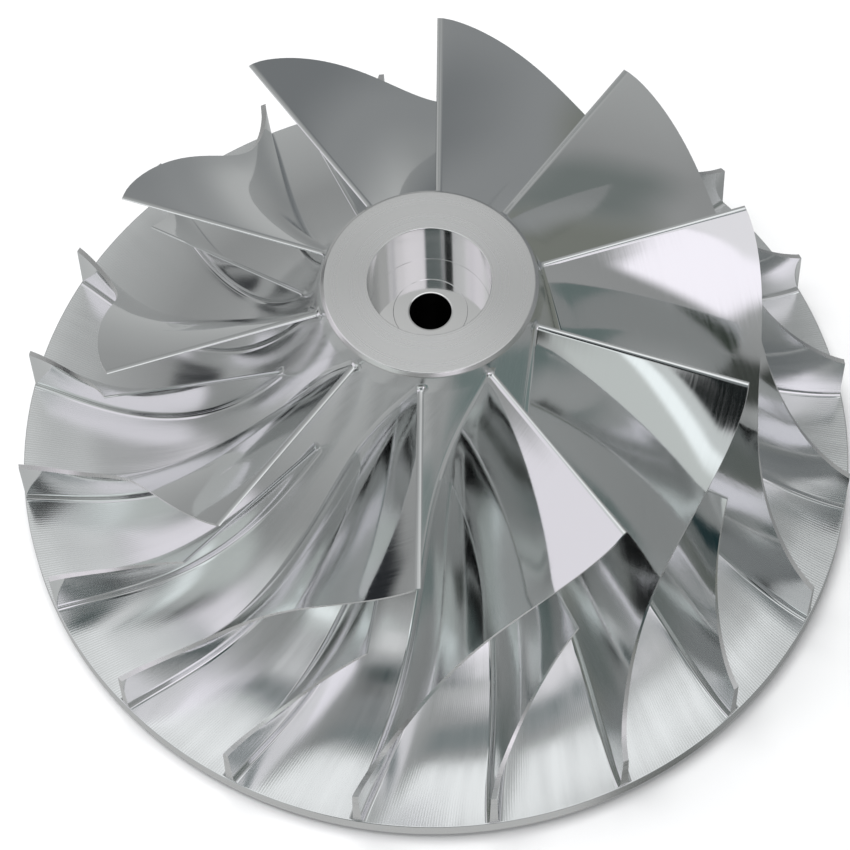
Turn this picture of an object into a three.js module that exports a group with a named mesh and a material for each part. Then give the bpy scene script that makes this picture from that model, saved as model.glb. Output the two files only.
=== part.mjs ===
// Compressor wheel of a turbocharger: ten full blades and ten splitter blades round a bell-shaped hub.
// Millimetres, +Z up. The origin is the centre of the bore on the back seat; +Z points to the nose.
import * as THREE from "three";

// Disc and hub
const rimRadius = 64;
const rimThickness = 2.7;
const backStep = 1.2; // how far the back seat stands below the disc's back face
const backSeatRadius = 14;
const rimBottom = backStep;
const rimTop = rimBottom + rimThickness;
const noseHeight = rimBottom + 50.7;
const noseRadius = 15.1;
const noseChamfer = 0.5;

// Bore, and the counterbore whose flat floor the shaft nut presses on
const boreRadius = 3;
const counterboreRadius = 8.85;
const counterboreDepth = 8.3;

// Blades
const bladePairs = 10;
const inducerHeight = rimBottom + 48.5; // leading edges of the full blades lie in this plane
const inducerTipRadius = 47.5;
const inducerRootRadius = 16.2;
const exitTipHeight = rimBottom + 11.7;
const exitRadius = rimRadius - 0.2;
const rootGap = 0.2; // parting gap that keeps the blade solids clear of the hub solid
const firstTipAngle = 86.3; // degrees
const rootLag = 2.35; // the leading edge is swept by this much between tip and root, degrees
const tipWrap = 44.7; // clockwise travel of the blade tip from inlet to exit, degrees

// The passage between the blades in the (radius, height) plane: lean off the axis at the inlet, rise off
// the radius at the exit, and how far each end's direction reaches into the curve.
const hubFlare = { inletLean: 11.3, inletReach: 26.7, exitRise: 0, exitReach: 29.9 };
const tipFlare = { inletLean: 34, inletReach: 4.4, exitRise: 12.2, exitReach: 22 };

// How the wrap is spread along the blade, as departures from an even spread.
const rootSpread = { bow: 1.98, skew: 1.17, belly: -3.25 };
const tipSpread = { bow: 1.02, skew: 0.28, belly: -1.26 };

// Thickness of the blades at root and tip: at the leading edge, halfway and at the trailing edge
const rootThickness = [0.75, 2.0, 1.3];
const tipThickness = [0.3, 0.45, 0.8];

// Splitters start part of the way along the full blade's surface
const splitterRootStart = 0.283;
const splitterTipStart = 0.457;
const splitterLead = 1.2; // degrees towards the full blade behind, fading out at the exit

// Mesh fineness
const hubSegments = 80;
const flareSteps = 16;
const fullBladeSteps = 16;
const splitterSteps = 12;
const spanSteps = 2;

const degree = Math.PI / 180;

// A curve in (radius, height) from the inlet to the exit of the passage.
function meridian(inletRadius, inletHeight, outletRadius, outletHeight, flare) {
  const lean = flare.inletLean * degree;
  const rise = flare.exitRise * degree;
  return new THREE.CubicBezierCurve(
    new THREE.Vector2(inletRadius, inletHeight),
    new THREE.Vector2(
      inletRadius + flare.inletReach * Math.sin(lean),
      inletHeight - flare.inletReach * Math.cos(lean),
    ),
    new THREE.Vector2(
      outletRadius - flare.exitReach * Math.cos(rise),
      outletHeight + flare.exitReach * Math.sin(rise),
    ),
    new THREE.Vector2(outletRadius, outletHeight),
  );
}

const hubCurve = meridian(inducerRootRadius, inducerHeight, exitRadius, rimTop, hubFlare);
const shroudCurve = meridian(inducerTipRadius, inducerHeight, exitRadius, exitTipHeight, tipFlare);

// Share of the wrap reached at u along the blade: 0 at the leading edge, 1 at the trailing edge.
function wrapShare(u, { bow, skew, belly }) {
  const bump = u * (1 - u);
  return u + bump * (bow + skew * (1 - 2 * u) + belly * bump);
}

// A point from its radius, height and angle round the wheel.
function wheelPoint(radius, height, angle) {
  const turn = angle * degree;
  return new THREE.Vector3(radius * Math.cos(turn), radius * Math.sin(turn), height);
}

// The root line stands off the hub surface by the parting gap, square to that surface.
function rootPoint(u, turn) {
  const at = hubCurve.getPointAt(u);
  const along = hubCurve.getTangentAt(u);
  const angle = firstTipAngle - rootLag - (tipWrap - rootLag) * wrapShare(u, rootSpread) + turn;
  return wheelPoint(at.x - along.y * rootGap, at.y + along.x * rootGap, angle);
}

function tipPoint(u, turn) {
  const at = shroudCurve.getPointAt(u);
  return wheelPoint(at.x, at.y, firstTipAngle - tipWrap * wrapShare(u, tipSpread) + turn);
}

// Quadratic through the leading, middle and trailing values.
function spread([leading, middle, trailing], t) {
  return leading * (1 - t) * (1 - 2 * t) + 4 * middle * t * (1 - t) + trailing * t * (2 * t - 1);
}

// A blade is straight from root to tip at each station t, and is thickened round the wheel on both sides.
function bladePoint(blade, t, span, side) {
  const camber = (station, share) => {
    const lead = blade.lead * (1 - station) ** 2;
    const root = rootPoint(THREE.MathUtils.lerp(blade.rootStart, 1, station), blade.turn + lead);
    const tip = tipPoint(THREE.MathUtils.lerp(blade.tipStart, 1, station), blade.turn + lead);
    return root.lerp(tip, share);
  };
  const step = 0.001;
  const early = Math.min(t, 1 - step);
  const point = camber(t, span);
  const alongFlow = camber(early + step, span).sub(camber(early, span));
  const alongSpan = camber(t, 1).sub(camber(t, 0));
  const normal = alongFlow.cross(alongSpan).normalize();
  const round = new THREE.Vector3(-point.y, point.x, 0).normalize();
  const thickness = THREE.MathUtils.lerp(spread(rootThickness, t), spread(tipThickness, t), span);
  return point.addScaledVector(round, (side * thickness) / 2 / Math.abs(normal.dot(round)));
}

function bladeGeometry(blade, steps) {
  const geometry = new THREE.BoxGeometry(1, 1, 1, steps, spanSteps, 1);
  const position = geometry.getAttribute("position");
  for (let i = 0; i < position.count; i++) {
    const point = bladePoint(blade, position.getX(i) + 0.5, position.getY(i) + 0.5, -2 * position.getZ(i));
    position.setXYZ(i, point.x, point.y, point.z);
  }
  geometry.computeVertexNormals();
  return geometry;
}

function hubGeometry() {
  const counterboreFloor = noseHeight - counterboreDepth;
  const flare = hubCurve.getSpacedPoints(flareSteps).reverse();
  const corners = [
    [boreRadius, 0],
    [backSeatRadius, 0],
    [backSeatRadius + backStep, backStep],
    [rimRadius, rimBottom],
    [rimRadius, rimTop],
    ...flare.map((point) => [point.x, point.y]),
    [noseRadius + noseChamfer, noseHeight - noseChamfer],
    [noseRadius, noseHeight],
    [counterboreRadius, noseHeight],
    [counterboreRadius, counterboreFloor],
    [boreRadius, counterboreFloor],
    [boreRadius, 0],
  ];
  const profile = corners.map(([radius, height]) => new THREE.Vector2(radius, height));
  return new THREE.LatheGeometry(profile, hubSegments).rotateX(Math.PI / 2);
}

const wheel = new THREE.Group();

function addNode(name, geometry, roughness) {
  const material = new THREE.MeshStandardMaterial({ color: 0xc9cbcd, metalness: 1, roughness });
  const mesh = new THREE.Mesh(geometry, material);
  mesh.name = name;
  wheel.add(mesh);
}

addNode("hub", hubGeometry(), 0.3);
for (let i = 0; i < bladePairs; i++) {
  const number = String(i + 1).padStart(2, "0");
  const turn = (-360 / bladePairs) * i;
  const full = { rootStart: 0, tipStart: 0, lead: 0, turn };
  const splitter = {
    rootStart: splitterRootStart,
    tipStart: splitterTipStart,
    lead: splitterLead,
    turn: turn - 180 / bladePairs,
  };
  addNode("full_blade_" + number, bladeGeometry(full, fullBladeSteps), 0.2);
  addNode("splitter_blade_" + number, bladeGeometry(splitter, splitterSteps), 0.2);
}

export default wheel;
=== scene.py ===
"""Looks of the compressor wheel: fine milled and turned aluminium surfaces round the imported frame."""
from math import cos, pi, sin, tan

import bpy
import numpy as np
from mathutils import Matrix, Vector


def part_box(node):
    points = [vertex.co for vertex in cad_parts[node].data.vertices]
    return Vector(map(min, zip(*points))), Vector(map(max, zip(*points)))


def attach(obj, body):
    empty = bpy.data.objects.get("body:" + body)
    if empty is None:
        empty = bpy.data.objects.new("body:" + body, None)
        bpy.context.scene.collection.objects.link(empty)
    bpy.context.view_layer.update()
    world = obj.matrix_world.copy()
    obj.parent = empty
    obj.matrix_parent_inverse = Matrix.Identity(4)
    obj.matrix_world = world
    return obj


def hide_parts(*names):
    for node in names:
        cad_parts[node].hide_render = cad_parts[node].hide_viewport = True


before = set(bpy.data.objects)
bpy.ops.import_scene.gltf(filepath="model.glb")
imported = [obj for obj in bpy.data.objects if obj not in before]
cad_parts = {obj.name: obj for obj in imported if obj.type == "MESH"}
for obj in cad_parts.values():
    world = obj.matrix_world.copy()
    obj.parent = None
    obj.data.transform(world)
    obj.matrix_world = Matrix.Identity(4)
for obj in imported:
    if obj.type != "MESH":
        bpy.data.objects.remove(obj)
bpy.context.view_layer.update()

MM = 0.001
DEGREE = pi / 180

# ---------------------------------------------------------------- dimensions
# The frame gives these where it has them; the rest repeat the CAD's driving dimensions.
_, hub_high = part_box("hub")
blade_low, blade_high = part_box("full_blade_01")
RIM_RADIUS = hub_high.x
NOSE_HEIGHT = hub_high.z
INDUCER_HEIGHT = blade_high.z
ROOT_GAP = 0.2 * MM
RIM_TOP = blade_low.z - ROOT_GAP
RIM_THICKNESS = 2.7 * MM
RIM_BOTTOM = RIM_TOP - RIM_THICKNESS
BACK_SEAT_RADIUS = 14 * MM

NOSE_RADIUS = 15.1 * MM
NOSE_CHAMFER = 0.5 * MM
BORE_RADIUS = 3 * MM
COUNTERBORE_RADIUS = 8.85 * MM
COUNTERBORE_DEPTH = 8.3 * MM
BORE_EASE = 0.25 * MM  # width of the shallow cone that leads into the bore
BORE_EASE_DEPTH = 0.045 * MM
SEAT_RADIUS = 5.4 * MM  # a shallow spot face round the bore
SEAT_DEPTH = 0.06 * MM

# Roundings of the hub's corners
BACK_BREAK = 0.3 * MM
STEP_BREAK = 0.4 * MM
RIM_BACK_BREAK = 0.2 * MM
RIM_FRONT_BREAK = 0.12 * MM
NOSE_BREAK = 0.1 * MM
FLOOR_CORNER = 0.04 * MM
SPOT_BREAK = 0.02 * MM
CONE_BREAK = 0.03 * MM
BORE_BREAK = 0.07 * MM
HOLD = 1.4  # where a straight stretch's own shading starts, in roundings from the corner

BLADE_PAIRS = 10
INDUCER_TIP_RADIUS = 47.5 * MM
INDUCER_ROOT_RADIUS = 16.2 * MM
EXIT_TIP_HEIGHT = RIM_BOTTOM + 11.7 * MM
EXIT_RADIUS = RIM_RADIUS - 0.2 * MM
FIRST_TIP_ANGLE = 86.3 * DEGREE
ROOT_LAG = 2.35 * DEGREE
TIP_WRAP = 44.7 * DEGREE
SPLITTER_ROOT_START = 0.283
SPLITTER_TIP_START = 0.457
SPLITTER_LEAD = 1.2 * DEGREE

# Lean off the axis at the inlet, reach of that direction, rise off the radius at the exit, and its reach
HUB_FLARE = (11.3 * DEGREE, 26.7 * MM, 0, 29.9 * MM)
TIP_FLARE = (34 * DEGREE, 4.4 * MM, 12.2 * DEGREE, 22 * MM)
# Bow, skew and belly of the wrap along the blade
ROOT_SPREAD = (1.98, 1.17, -3.25)
TIP_SPREAD = (1.02, 0.28, -1.26)
# Thickness at the leading edge, halfway and at the trailing edge
ROOT_THICKNESS = (0.75 * MM, 2.0 * MM, 1.3 * MM)
TIP_THICKNESS = (0.3 * MM, 0.45 * MM, 0.8 * MM)

FILLET_RADIUS = 0.65 * MM
FOOT_INWARD = 0.15 * MM  # how far the foot of a blade is sunk into the hub
FOOT_DOWN = 0.1 * MM
LEADING_NOSE = 0.005  # share of the blade's length in which its leading edge rounds off
NOSE_SQUARENESS = 2.6  # 2 is an ellipse, more is a flatter edge with tighter corners
HUB_SEGMENTS = 360
FLARE_STRIDE = 6  # every sixth point of the passage wall is a row of the hub's mesh
FULL_BLADE_STEPS = 64
SPLITTER_STEPS = 48
CUTTER_PASSES = 1000  # round the wheel


# ---------------------------------------------------------------- shape of the passage and the blades
def even_curve(inlet, outlet, flare, samples=600):
    """Points of the passage wall in (radius, height), evenly spaced from inlet to outlet, and its length."""
    lean, inlet_reach, rise, outlet_reach = flare
    inlet, outlet = np.array(inlet), np.array(outlet)
    first = inlet + inlet_reach * np.array([sin(lean), -cos(lean)])
    second = outlet + outlet_reach * np.array([-cos(rise), sin(rise)])
    t = np.linspace(0, 1, samples)[:, None]
    curve = (1 - t) ** 3 * inlet + 3 * (1 - t) ** 2 * t * first + 3 * (1 - t) * t**2 * second + t**3 * outlet
    distance = np.concatenate([[0], np.cumsum(np.linalg.norm(np.diff(curve, axis=0), axis=1))])
    even = np.linspace(0, distance[-1], samples)
    points = np.stack([np.interp(even, distance, curve[:, axis]) for axis in (0, 1)], axis=1)
    return points, distance[-1]


HUB_CURVE, HUB_LENGTH = even_curve((INDUCER_ROOT_RADIUS, INDUCER_HEIGHT), (EXIT_RADIUS, RIM_TOP), HUB_FLARE)
TIP_CURVE, _ = even_curve((INDUCER_TIP_RADIUS, INDUCER_HEIGHT), (EXIT_RADIUS, EXIT_TIP_HEIGHT), TIP_FLARE)
NOSE_EDGE = np.array([NOSE_RADIUS + NOSE_CHAMFER, NOSE_HEIGHT - NOSE_CHAMFER])


def along(curve, share):
    """Radius and height at a share of the curve's length."""
    stations = np.linspace(0, 1, len(curve))
    return np.interp(share, stations, curve[:, 0]), np.interp(share, stations, curve[:, 1])


def hub_surface(share, angle):
    """Points on the hub by share of the passage wall: shares under 0 run straight up to the nose."""
    radius, height = along(HUB_CURVE, np.clip(share, 0, 1))
    start = HUB_CURVE[0]
    up = np.clip(-share, 0, 1)[..., None] * HUB_LENGTH / np.linalg.norm(NOSE_EDGE - start)
    lift = up * (NOSE_EDGE - start)
    return turned(radius + lift[..., 0], height + lift[..., 1], angle)


def turned(radius, height, angle):
    """Cylindrical to Cartesian."""
    radius, height, angle = np.broadcast_arrays(radius, height, angle)
    return np.stack([radius * np.cos(angle), radius * np.sin(angle), height], axis=-1)


def wrap_share(u, spread):
    """Share of the wrap reached at a share u of the way along the blade."""
    bow, skew, belly = spread
    bump = u * (1 - u)
    return u + bump * (bow + skew * (1 - 2 * u) + belly * bump)


def root_angle(u):
    return FIRST_TIP_ANGLE - ROOT_LAG - (TIP_WRAP - ROOT_LAG) * wrap_share(u, ROOT_SPREAD)


def tip_angle(u):
    return FIRST_TIP_ANGLE - TIP_WRAP * wrap_share(u, TIP_SPREAD)


def spread_over(values, t):
    """Quadratic through the leading, middle and trailing values."""
    leading, middle, trailing = values
    return leading * (1 - t) * (1 - 2 * t) + 4 * middle * t * (1 - t) + trailing * t * (2 * t - 1)


class Blade:
    """The surface of one blade: t runs from its leading to its trailing edge, span from root to tip."""

    def __init__(self, root_start, tip_start, lead):
        self.root_start, self.tip_start, self.lead = root_start, tip_start, lead

    def root_place(self, t):
        """Share along the hub curve and angle of the root line."""
        share = self.root_start + (1 - self.root_start) * t
        return share, root_angle(share) + self.lead * (1 - t) ** 2

    def camber(self, t, span):
        """Points on the middle surface, which is straight from root to tip."""
        root = hub_surface(*self.root_place(t))
        share = self.tip_start + (1 - self.tip_start) * t
        tip = turned(*along(TIP_CURVE, share), tip_angle(share) + self.lead * (1 - t) ** 2)
        return root + (tip - root) * np.asarray(span)[..., None]

    def half_width(self, t, span):
        """Half of the blade's thickness, measured round the wheel."""
        step = 0.002
        early = np.clip(t, 0, 1 - step)
        flow = self.camber(early + step, span) - self.camber(early, span)
        across = self.camber(t, np.ones_like(t)) - self.camber(t, np.zeros_like(t))
        normal = np.cross(flow, across)
        normal /= np.linalg.norm(normal, axis=-1, keepdims=True)
        point = self.camber(t, span)
        round_wheel = np.stack([-point[..., 1], point[..., 0], np.zeros_like(point[..., 0])], axis=-1)
        round_wheel /= np.linalg.norm(round_wheel, axis=-1, keepdims=True)
        slant = np.abs((normal * round_wheel).sum(axis=-1))
        thickness = spread_over(ROOT_THICKNESS, t) * (1 - span) + spread_over(TIP_THICKNESS, t) * span
        short_of_full = 1 - np.clip(t / LEADING_NOSE, 0, 1)
        nose = (1 - short_of_full**NOSE_SQUARENESS) ** (1 / NOSE_SQUARENESS)
        return nose * thickness / 2 / slant, round_wheel

    def wall(self, t, span, side):
        """Points on one side of the blade: side is 1 or -1."""
        half, round_wheel = self.half_width(t, span)
        return self.camber(t, span) + (side * half)[..., None] * round_wheel


def stations(count, nose_count):
    """Places along a blade: close together round the leading edge, then even."""
    nose = LEADING_NOSE * (1 - np.cos(np.linspace(0, pi / 2, nose_count + 1)))
    return np.concatenate([nose, np.linspace(LEADING_NOSE, 1, count + 1)[1:]])


def blade_rows(blade, steps, nose_steps=7, span_steps=14, fillet_steps=7):
    """Closed loops of points round the blade, from the foot inside the hub up to the tip."""
    half_loop = stations(steps, nose_steps)
    t = np.concatenate([half_loop[::-1], half_loop[1:]])
    side = np.concatenate([np.full(len(half_loop), 1.0), np.full(len(half_loop) - 1, -1.0)])
    share, angle = blade.root_place(t)
    half, _ = blade.half_width(t, np.zeros_like(t))
    radius, _ = along(HUB_CURVE, share)
    angle = angle + side * half / radius
    # Outward direction on the hub surface, square to the root loop
    flow, sideways = np.gradient(share * HUB_LENGTH), np.gradient(angle) * radius
    length = np.hypot(flow, sideways)
    out_flow, out_side = -sideways / length, flow / length
    if out_side[0] < 0:
        out_flow, out_side = -out_flow, -out_side
    reach = np.linalg.norm(blade.camber(t, np.ones_like(t)) - blade.camber(t, np.zeros_like(t)), axis=-1)

    def spread_foot(amount):
        """Shift on the hub surface away from the blade."""
        moved = np.minimum(share + amount * out_flow / HUB_LENGTH, 1.0)
        return hub_surface(moved, angle + amount * out_side / radius) - hub_surface(share, angle)

    rows = []
    outer = hub_surface(share, angle) + spread_foot(FILLET_RADIUS)
    shrink = 1 - FOOT_INWARD / np.linalg.norm(outer[:, :2], axis=1)
    rows.append(outer * shrink[:, None] + np.array([0, 0, -1.0]) * FOOT_DOWN)
    for turn in np.linspace(0, pi / 2, fillet_steps + 1):
        lift = FILLET_RADIUS * (1 - cos(turn)) / reach
        rows.append(blade.wall(t, lift, side) + spread_foot(FILLET_RADIUS * (1 - sin(turn))))
    first = FILLET_RADIUS / reach
    for step in range(1, span_steps + 1):
        rows.append(blade.wall(t, first + (1 - first) * step / span_steps, side))
    return np.array(rows)


# ---------------------------------------------------------------- meshes
FACES_SIDE, FACES_EDGE = 0, 1  # places of the blades' materials
SHARP_EDGE = 30 * DEGREE


def make_mesh(name, points, faces, face_materials, uvs, materials):
    """A smooth-shaded object with sharp corners kept, and its coordinates for the cutter marks."""
    mesh = bpy.data.meshes.new(name)
    mesh.from_pydata([tuple(p) for p in points], [], faces)
    for material in materials:
        mesh.materials.append(material)
    mesh.polygons.foreach_set("material_index", face_materials)
    mesh.polygons.foreach_set("use_smooth", [True] * len(faces))
    layer = mesh.uv_layers.new(name="surface")
    layer.data.foreach_set("uv", np.array(uvs, dtype=np.float32).ravel())
    mesh.update()
    mesh.set_sharp_from_angle(angle=SHARP_EDGE)
    piece = bpy.data.objects.new(name, mesh)
    bpy.context.scene.collection.objects.link(piece)
    return piece


def blade_piece(name, cad_node, rows, turn, materials):
    """One closed blade: walls with their root fillets, and flat tip, trailing and foot faces."""
    row_count, loop = rows.shape[:2]
    spin = np.array([[cos(turn), -sin(turn), 0], [sin(turn), cos(turn), 0], [0, 0, 1]])
    points = rows.reshape(-1, 3) @ spin.T
    middle = loop // 2
    stream = np.concatenate([[0], np.cumsum(np.linalg.norm(np.diff(rows[-1], axis=0), axis=1))])
    heights = np.linalg.norm(rows - rows[0], axis=-1)
    faces, kinds, uvs = [], [], []

    def add(corners, kind):
        faces.append([row * loop + k for row, k in corners])
        kinds.append(kind)
        uvs.extend((stream[k] / MM, heights[row, k] / MM) for row, k in corners)

    for row in range(row_count - 1):
        for k in range(loop - 1):
            add([(row, k), (row, k + 1), (row + 1, k + 1), (row + 1, k)], FACES_SIDE)
        add([(row, loop - 1), (row, 0), (row + 1, 0), (row + 1, loop - 1)], FACES_EDGE)
    for row, order in ((row_count - 1, 1), (0, -1)):
        for k in range(middle):
            if k == middle - 1:
                corners = [(row, k), (row, k + 1), (row, loop - 1 - k)]
            else:
                corners = [(row, k), (row, k + 1), (row, loop - 2 - k), (row, loop - 1 - k)]
            add(corners[::order], FACES_EDGE)
    piece = make_mesh(name, points, faces, kinds, uvs, materials)
    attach(piece, "root")
    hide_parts(cad_node)


def rounded(corners, steps=3):
    """A profile whose corners (radius, height, rounding, material) are cut back by small arcs.

    One more point stands just outside each end of an arc, so that the straight stretches are shaded flat.
    """
    points, kinds = [], []
    count = len(corners)
    for i, (radius, height, rounding, kind) in enumerate(corners):
        here = np.array([radius, height])
        if rounding == 0:
            points.append(here)
            kinds.append(kind)
            continue
        before = np.array(corners[i - 1][:2]) - here
        after = np.array(corners[(i + 1) % count][:2]) - here
        before, after = (side / np.linalg.norm(side) * rounding for side in (before, after))
        points.append(here + HOLD * before)
        kinds.append(corners[i - 1][3])
        for step in range(steps + 1):
            s = step / steps
            points.append(here + (1 - s) ** 2 * before + s**2 * after)
            kinds.append(kind)
        points.append(here + HOLD * after)
        kinds.append(kind)
    return np.array(points), kinds


# Places of the hub's materials
TURNED, MILLED, BORED, SEAT, DRILLED = range(5)


def hub_profile():
    """The hub's outline in (radius, height), once round, with the kind of finish that follows each point."""
    floor = NOSE_HEIGHT - COUNTERBORE_DEPTH
    seat = floor - SEAT_DEPTH
    flare = [(r, h, 0, MILLED) for r, h in HUB_CURVE[::-FLARE_STRIDE]]
    corners = [
        (BORE_RADIUS, 0, BACK_BREAK, TURNED),
        (BACK_SEAT_RADIUS, 0, BACK_BREAK, TURNED),
        (BACK_SEAT_RADIUS + RIM_BOTTOM, RIM_BOTTOM, STEP_BREAK, TURNED),
        (RIM_RADIUS, RIM_BOTTOM, RIM_BACK_BREAK, TURNED),
        (RIM_RADIUS, RIM_TOP, RIM_FRONT_BREAK, MILLED),
        *flare,
        (*NOSE_EDGE, NOSE_BREAK, TURNED),
        (NOSE_RADIUS, NOSE_HEIGHT, NOSE_BREAK, TURNED),
        (COUNTERBORE_RADIUS, NOSE_HEIGHT, NOSE_BREAK, BORED),
        (COUNTERBORE_RADIUS, floor, FLOOR_CORNER, SEAT),
        (SEAT_RADIUS, floor, SPOT_BREAK, SEAT),
        (SEAT_RADIUS - SEAT_DEPTH, seat, SPOT_BREAK, SEAT),
        (BORE_RADIUS + BORE_EASE, seat, CONE_BREAK, SEAT),
        (BORE_RADIUS, seat - BORE_EASE_DEPTH, BORE_BREAK, DRILLED),
    ]
    return rounded(corners)


def hub_piece(materials):
    """The hub: its profile turned round the axis."""
    profile, kinds = hub_profile()
    rows = len(profile)
    angles = np.linspace(0, 2 * pi, HUB_SEGMENTS, endpoint=False)
    points = turned(profile[:, 0, None], profile[:, 1, None], angles[None, :]).reshape(-1, 3)
    # Cutter lines follow the blades: their coordinate is the angle past the root line at the same radius
    share = np.interp(profile[:, 0], HUB_CURVE[:, 0], np.linspace(0, 1, len(HUB_CURVE)))
    phase = root_angle(share)
    faces, face_kinds, uvs = [], [], []
    step = 2 * pi / HUB_SEGMENTS
    for i in range(rows):
        j = (i + 1) % rows
        for k in range(HUB_SEGMENTS):
            after = (k + 1) % HUB_SEGMENTS
            loop = ((i, k), (i, after), (j, after), (j, k))
            faces.append([row * HUB_SEGMENTS + place for row, place in loop])
            face_kinds.append(kinds[i])
            for row, angle in ((i, k * step), (i, (k + 1) * step), (j, (k + 1) * step), (j, k * step)):
                uvs.append(((angle - phase[row]) / (2 * pi), share[row]))
    piece = make_mesh("wheel_hub", points, faces, face_kinds, uvs, materials)
    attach(piece, "root")
    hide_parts("hub")


# ---------------------------------------------------------------- materials
def node(tree, kind, inputs=None, output=0, **settings):
    """Add one node, set or link its inputs, and return one of its outputs."""
    made = tree.nodes.new(kind)
    for name, value in settings.items():
        setattr(made, name, value)
    for name, value in (inputs or {}).items():
        if isinstance(value, bpy.types.NodeSocket):
            tree.links.new(value, made.inputs[name])
        else:
            made.inputs[name].default_value = value
    return made.outputs[output]


def connect(tree, shader, **sockets):
    """Drive the shader's sockets by name."""
    for name, value in sockets.items():
        tree.links.new(value, shader.inputs[name])


def calculate(tree, operation, *values):
    return node(tree, "ShaderNodeMath", dict(enumerate(values)), operation=operation)


def remap(tree, value, low, high, new_low, new_high, interpolation="LINEAR"):
    inputs = {"Value": value, "From Min": low, "From Max": high, "To Min": new_low, "To Max": new_high}
    return node(tree, "ShaderNodeMapRange", inputs, interpolation_type=interpolation)


def noise(tree, place, scale, detail=2):
    return node(tree, "ShaderNodeTexNoise", {"Vector": place, "Scale": scale, "Detail": detail})


def stretched(tree, place, factors):
    return node(tree, "ShaderNodeVectorMath", {0: place, 1: factors}, operation="MULTIPLY")


def bump(tree, height, depth, normal=None):
    """Raise the surface by up to depth metres."""
    inputs = {"Height": height, "Distance": depth, "Strength": 1}
    if normal is not None:
        inputs["Normal"] = normal
    return node(tree, "ShaderNodeBump", inputs)


def object_coordinates(tree):
    return node(tree, "ShaderNodeTexCoord", output="Object")


def surface_coordinates(tree):
    return node(tree, "ShaderNodeUVMap", uv_map="surface")


def ring_tangent(tree):
    """Direction round the axis."""
    return node(tree, "ShaderNodeTangent", direction_type="RADIAL", axis="Z")


def surface_tangent(tree):
    """Direction in which the first surface coordinate grows."""
    return node(tree, "ShaderNodeTangent", direction_type="UV_MAP", uv_map="surface")


TURNED_COLOUR = (0.875, 0.87, 0.865)
MILLED_COLOUR = (0.86, 0.87, 0.87)
BORED_COLOUR = (0.87, 0.87, 0.87)
# Near-black colour of the narrow bore: painted shade for the deep hole, not a finish of the metal
BORE_PAINTED_SHADE = (0.03, 0.03, 0.032)
CROSSWISE = 0.25  # turns the stretch of a highlight from along the tangent to across it
NOISE_MIDDLE = (0.3, 0.7)  # the range that a noise mostly stays in
# Fineness of the marks, in cells to the metre
RINGS, BANDS = 6000, 900
PASSAGE_SWELL, FLANK_SWELL = 60, 70
BORED_RINGS = (100, 100, 5000)
DRILLED_RINGS = (200, 200, 4000)


def metal(name, colour, roughness, anisotropic, turn=0.0):
    """Bare aluminium; turn swings the stretch of its highlights, in whole turns."""
    material = bpy.data.materials.new(name)
    material.use_nodes = True
    tree = material.node_tree
    shader = tree.nodes["Principled BSDF"]
    settings = {
        "Base Color": (*colour, 1), "Metallic": 1, "Roughness": roughness,
        "Anisotropic": anisotropic, "Anisotropic Rotation": turn,
    }
    for socket, value in settings.items():
        shader.inputs[socket].default_value = value
    return material, tree, shader


def turned_material(name, smoothest, roughest, anisotropic, groove):
    """Lathe-turned faces: rings of a given groove depth round the axis, so highlights stretch outward."""
    material, tree, shader = metal(name, TURNED_COLOUR, smoothest, anisotropic, CROSSWISE)
    split = node(tree, "ShaderNodeSeparateXYZ", {0: object_coordinates(tree)}).node
    squares = [calculate(tree, "MULTIPLY", split.outputs[i], split.outputs[i]) for i in (0, 1)]
    radius = calculate(tree, "SQRT", calculate(tree, "ADD", *squares))
    across = node(tree, "ShaderNodeCombineXYZ", {"X": radius, "Y": split.outputs[2], "Z": 0.0})
    rings = noise(tree, across, RINGS, 1)
    bands = noise(tree, across, BANDS, 2)
    normal = bump(tree, rings, groove, bump(tree, bands, 2 * groove))
    roughness = remap(tree, bands, *NOISE_MIDDLE, smoothest, roughest)
    connect(tree, shader, Tangent=ring_tangent(tree), Normal=normal, Roughness=roughness)
    return material


def passage_material():
    """Ball-milled floors: cutter passes run along the passage, so highlights stretch across it."""
    scallop_depth, wave_depth, swell_depth = 0.014 * MM, 0.008 * MM, 0.05 * MM
    material, tree, shader = metal("milled_passage", MILLED_COLOUR, 0.17, 0.6)
    uv = surface_coordinates(tree)
    split = node(tree, "ShaderNodeSeparateXYZ", {0: uv}).node
    turns, share = split.outputs[0], split.outputs[1]
    passes = calculate(tree, "FRACT", calculate(tree, "MULTIPLY", turns, float(CUTTER_PASSES)))
    from_middle = calculate(tree, "ABSOLUTE", calculate(tree, "SUBTRACT", passes, 0.5))
    cusp = calculate(tree, "MULTIPLY", from_middle, from_middle)
    strength = remap(tree, share, 0.55, 1.0, 0.1, 1.0, "SMOOTHSTEP")
    scallops = bump(tree, calculate(tree, "MULTIPLY", cusp, strength), scallop_depth)
    swell = bump(tree, noise(tree, object_coordinates(tree), PASSAGE_SWELL), swell_depth, scallops)
    waves = noise(tree, stretched(tree, uv, (CUTTER_PASSES / 6, 3.0, 1.0)), 1.0, 3)
    normal = bump(tree, waves, wave_depth, swell)
    roughness = remap(tree, waves, *NOISE_MIDDLE, 0.14, 0.22)
    connect(tree, shader, Tangent=surface_tangent(tree), Normal=normal, Roughness=roughness)
    return material


def flank_material():
    """Blade sides: bright, nearly mirror-smooth, with faint cutter lines along the blade."""
    line_depth, swell_depth = 0.0015 * MM, 0.03 * MM
    material, tree, shader = metal("milled_flank", MILLED_COLOUR, 0.09, 0.5, CROSSWISE)
    uv = surface_coordinates(tree)
    lines = noise(tree, stretched(tree, uv, (0.02, 2.4, 1.0)), 1.0, 3)
    swell = bump(tree, noise(tree, object_coordinates(tree), FLANK_SWELL), swell_depth)
    normal = bump(tree, lines, line_depth, swell)
    roughness = remap(tree, lines, *NOISE_MIDDLE, 0.05, 0.10)
    connect(tree, shader, Tangent=surface_tangent(tree), Normal=normal, Roughness=roughness)
    return material


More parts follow.
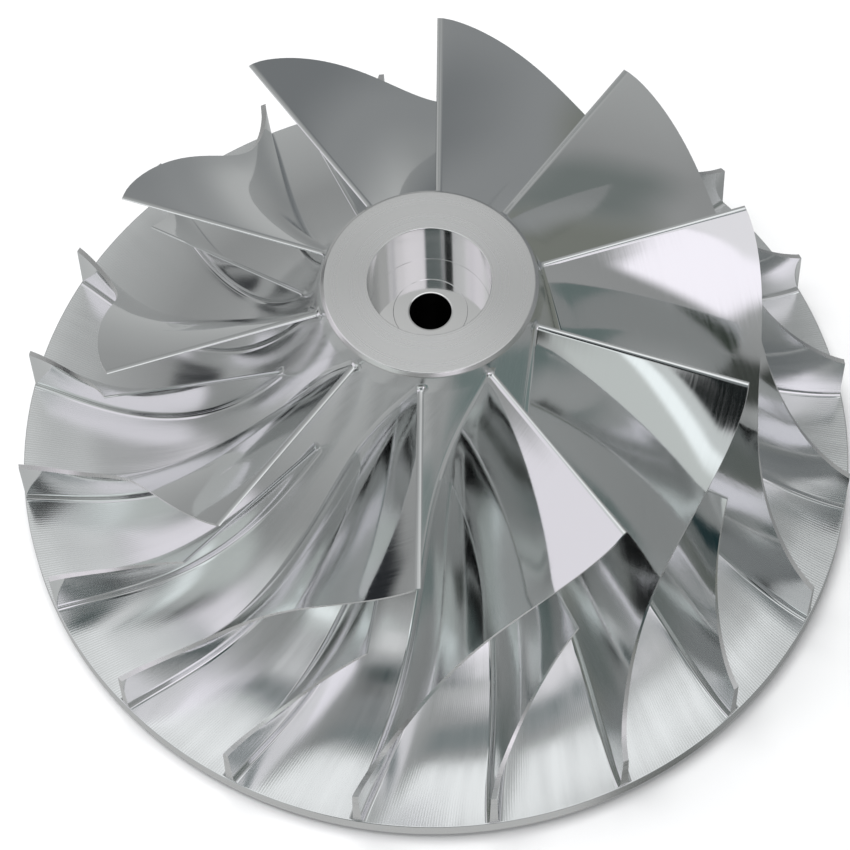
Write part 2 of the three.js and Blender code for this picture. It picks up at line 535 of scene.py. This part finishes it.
def bored_material():
    """Bored walls: rings round the bore, so highlights run down the wall in stripes."""
    material, tree, shader = metal("bored_aluminium", BORED_COLOUR, 0.13, 0.7, CROSSWISE)
    rings = noise(tree, stretched(tree, object_coordinates(tree), BORED_RINGS), 1.0)
    connect(tree, shader, Tangent=ring_tangent(tree), Normal=bump(tree, rings, 0.0004 * MM))
    return material


def drilled_shade_material():
    """The narrow bore: rough, with a near-black colour that is painted shade for the deep hole; the metal
    itself is plain aluminium.
    """
    material, tree, shader = metal("drilled_bore_painted_shade", BORE_PAINTED_SHADE, 0.55, 0.3)
    rings = noise(tree, stretched(tree, object_coordinates(tree), DRILLED_RINGS), 1.0)
    connect(tree, shader, Normal=bump(tree, rings, 0.01 * MM))
    return material


# ---------------------------------------------------------------- stage
FLOOR_LIGHT = 21.5  # watts
FLOOR_LIGHT_PLACE = (-0.3, 0.2, 1.5)
FLOOR_LIGHT_SIZE = 1.2
FLOOR_HALF = 3.0
FLOOR_COLOUR = (0.9, 0.9, 0.9, 1)
BACKDROP = (0.9, 0.9, 0.9, 1)
LENS, SENSOR = 133.9, 36  # millimetres


def build_camera():
    """A long lens looking down on the wheel, rolled slightly."""
    elevation, roll = 61.2 * DEGREE, -2.34 * DEGREE
    distance = 7.721 * RIM_RADIUS
    shift_right, shift_up = -0.0229 * RIM_RADIUS, 0.0622 * RIM_RADIUS
    right = np.array([1, 0, 0])
    up = np.array([0, sin(elevation), cos(elevation)])
    back = np.array([0, -cos(elevation), sin(elevation)])
    place = shift_right * right + shift_up * up + distance * back + np.array([0, 0, RIM_BOTTOM])
    columns = (cos(roll) * right + sin(roll) * up, cos(roll) * up - sin(roll) * right, back, place)
    data = bpy.data.cameras.new("camera")
    data.lens = LENS
    data.sensor_width = SENSOR
    data.clip_start, data.clip_end = 0.01, 20
    camera = bpy.data.objects.new("camera", data)
    bpy.context.scene.collection.objects.link(camera)
    matrix = [[float(column[row]) for column in columns] for row in range(3)] + [[0, 0, 0, 1]]
    camera.matrix_world = Matrix(matrix)
    bpy.context.scene.camera = camera


def heading(azimuth, elevation):
    """Direction at an azimuth right of the camera's side of the wheel, and above its plane."""
    return np.array([sin(azimuth) * cos(elevation), -cos(azimuth) * cos(elevation), sin(elevation)])


# Elevation in degrees, from straight below to straight above, and the room's brightness there
ROOM = [
    (-90, 0.53), (-60, 0.49), (-30, 0.42), (-5, 0.33), (25, 0.29),
    (42, 0.365), (54, 0.41), (66, 0.48), (90, 0.30),
]
ROOM_TINT = (0.98, 1.0, 1.0)
# Softboxes and flags: azimuth, elevation, half width, half height, tilt (degrees), softness, colour
CARDS = {
    "right_wall": (130, 2, 48, 34, 0, 0.9, (0.255, 0.265, 0.27)),
    "right_dark": (140, 7, 30, 14, 0, 1.4, (0.18, 0.19, 0.197)),
    "right_corner": (66, -12, 22, 20, 0, 0.9, (0.19, 0.20, 0.18)),
    "right_low": (67, 15, 15, 9, 0, 1.2, (0.165, 0.185, 0.18)),
    "right_floor": (100, -52, 30, 22, 0, 0.8, (0.27, 0.28, 0.28)),
    "left_fill": (-66, 48, 24, 24, 0, 0.8, (0.57, 0.58, 0.59)),
    "left_top": (-108, 66, 20, 10, 0, 0.8, (0.66, 0.67, 0.68)),
    "overhead_back": (-150, 74, 24, 8, 0, 0.7, (0.62, 0.64, 0.645)),
    "back_glow": (180, 63, 10, 4, 0, 0.8, (0.62, 0.63, 0.63)),
    "right_shade": (143, 57, 16, 8, 0, 0.8, (0.31, 0.32, 0.32)),
    "overhead_wide": (177, 81, 18, 5, 0, 0.3, (0.80, 0.82, 0.83)),
    "overhead_box": (174, 76, 13, 9, 0, 0.3, (0.93, 0.95, 0.96)),
    "upper_right": (56, 66, 12.5, 11, 0, 0.5, (0.80, 0.785, 0.82)),
    "boom": (-10, 86, 30, 4, 0, 0.6, (0.19, 0.22, 0.225)),
    "boom_arm": (-50, 74, 10, 6, 0, 0.8, (0.19, 0.205, 0.21)),
    "camera": (-8, 61, 8, 5, 0, 0.5, (0.04, 0.065, 0.065)),
    "camera_arm": (-27, 61, 3.5, 3, 0, 0.3, (0.06, 0.085, 0.085)),
    "front_left": (-19, 47, 4.5, 4.5, 0, 0.6, (0.78, 0.78, 0.79)),
    "front_box": (17, 42, 10.3, 14, 18, 0.4, (1.05, 1.01, 1.09)),
    "front_top": (27, 58, 10, 6, 0, 0.5, (0.82, 0.805, 0.84)),
    "left_box": (-98, 34, 16, 27, 0, 0.4, (0.80, 0.775, 0.83)),
    "front_fill": (-44, 27, 16, 14, 0, 0.8, (0.55, 0.58, 0.57)),
    "front_glow": (-41, 44, 13, 4.5, 0, 0.8, (0.58, 0.61, 0.61)),
    "front_card": (-40, 38.8, 12, 3.2, 0, 1.0, (0.97, 1.03, 1.04)),
    "high_flag": (-37.8, 58.5, 4.2, 11, 0, 0.25, (0.01, 0.012, 0.012)),
    "low_flag": (-15, 17, 12, 7, 15, 0.7, (0.05, 0.055, 0.05)),
    "teal_shade": (10, -10, 22, 12, 0, 0.8, (0.17, 0.215, 0.21)),
    "teal_flag": (53, -27, 11, 11.5, 0, 0.5, (0.005, 0.03, 0.035)),
    "floor_flag": (66, -67, 7, 4.5, 0, 0.4, (0.03, 0.04, 0.03)),
    "left_flag": (-130, 8, 6, 13, 0, 0.5, (0.02, 0.022, 0.025)),
}


def card_mask(tree, ray, azimuth, elevation, half_width, half_height, tilt, softness):
    """1 where a ray meets the card, 0 off it, with soft sides."""
    forward = heading(azimuth, elevation)
    right = np.array([cos(azimuth), sin(azimuth), 0])
    up = np.cross(right, forward) * (1 if np.cross(right, forward)[2] > 0 else -1)
    right, up = cos(tilt) * right - sin(tilt) * up, cos(tilt) * up + sin(tilt) * right

    def along_axis(axis):
        return node(tree, "ShaderNodeVectorMath", {0: ray, 1: tuple(axis)}, "Value", operation="DOT_PRODUCT")

    depth = calculate(tree, "MAXIMUM", along_axis(forward), 0.001)
    sides = []
    for axis, half in ((right, half_width), (up, half_height)):
        offset = calculate(tree, "DIVIDE", calculate(tree, "ABSOLUTE", along_axis(axis)), depth)
        edge, blur = tan(half), tan(half) * softness / 2
        sides.append(remap(tree, offset, edge - blur, edge + blur, 1, 0, "SMOOTHSTEP"))
    return calculate(tree, "MULTIPLY", *sides)


def mix(tree, share, first, second):
    return node(tree, "ShaderNodeMixRGB", {"Fac": share, "Color1": first, "Color2": second})


def build_room():
    """The studio that the metal reflects: a grey room with softboxes and flags. The camera sees it pale."""
    world = bpy.data.worlds.new("studio")
    bpy.context.scene.world = world
    world.use_nodes = True
    tree = world.node_tree
    ray = node(tree, "ShaderNodeTexCoord", output="Generated")
    up = node(tree, "ShaderNodeSeparateXYZ", {0: ray}, "Z")
    ramp = node(tree, "ShaderNodeValToRGB", {"Fac": remap(tree, up, -1, 1, 0, 1)}).node
    stops = ramp.color_ramp.elements
    while len(stops) < len(ROOM):
        stops.new(1)
    for stop, (elevation, tone) in zip(stops, ROOM):
        stop.position = (sin(elevation * DEGREE) + 1) / 2
        stop.color = (*(tone * tint for tint in ROOM_TINT), 1)
    colour = ramp.outputs["Color"]
    for *angles, softness, card_colour in CARDS.values():
        mask = card_mask(tree, ray, *(angle * DEGREE for angle in angles), softness)
        colour = mix(tree, mask, colour, (*card_colour, 1))
    seen = node(tree, "ShaderNodeLightPath", output="Is Camera Ray")
    tree.links.new(mix(tree, seen, colour, BACKDROP), tree.nodes["Background"].inputs["Color"])


def build_floor():
    """A plain pale floor that the metal doesn't mirror."""
    corners = [(x * FLOOR_HALF, y * FLOOR_HALF, 0) for x, y in ((-1, -1), (1, -1), (1, 1), (-1, 1))]
    mesh = bpy.data.meshes.new("floor")
    mesh.from_pydata(corners, [], [(0, 1, 2, 3)])
    floor = bpy.data.objects.new("floor", mesh)
    floor.visible_glossy = False
    bpy.context.scene.collection.objects.link(floor)
    material = bpy.data.materials.new("floor")
    material.use_nodes = True
    shader = material.node_tree.nodes["Principled BSDF"]
    shader.inputs["Base Color"].default_value = FLOOR_COLOUR
    shader.inputs["Roughness"].default_value = 0.9
    mesh.materials.append(material)


def build_floor_light():
    """A wide overhead light for the floor alone: the metal doesn't mirror it."""
    data = bpy.data.lights.new("overhead", "AREA")
    data.shape = "DISK"
    data.size = FLOOR_LIGHT_SIZE
    data.energy = FLOOR_LIGHT
    light = bpy.data.objects.new("overhead", data)
    light.location = FLOOR_LIGHT_PLACE
    light.rotation_euler = (-Vector(light.location)).to_track_quat("-Z", "Y").to_euler()
    light.visible_glossy = False
    bpy.context.scene.collection.objects.link(light)


def build_stage():
    build_room()
    build_floor()
    build_floor_light()
    bpy.context.scene.view_settings.view_transform = "Standard"


turned_finish = turned_material("turned_aluminium", 0.22, 0.3, 0.6, 0.0014 * MM)
seat_finish = turned_material("turned_seat", 0.04, 0.07, 0.5, 0.0002 * MM)
hub_piece([turned_finish, passage_material(), bored_material(), seat_finish, drilled_shade_material()])
blade_finish = [flank_material(), turned_finish]
full_rows = blade_rows(Blade(0, 0, 0), FULL_BLADE_STEPS)
splitter_rows = blade_rows(Blade(SPLITTER_ROOT_START, SPLITTER_TIP_START, SPLITTER_LEAD), SPLITTER_STEPS)
for i in range(BLADE_PAIRS):
    turn = -2 * pi / BLADE_PAIRS * i
    number = f"{i + 1:02d}"
    full, splitter = f"full_blade_{number}", f"splitter_blade_{number}"
    blade_piece("milled_" + full, full, full_rows, turn, blade_finish)
    blade_piece("milled_" + splitter, splitter, splitter_rows, turn - pi / BLADE_PAIRS, blade_finish)
build_stage()
build_camera()
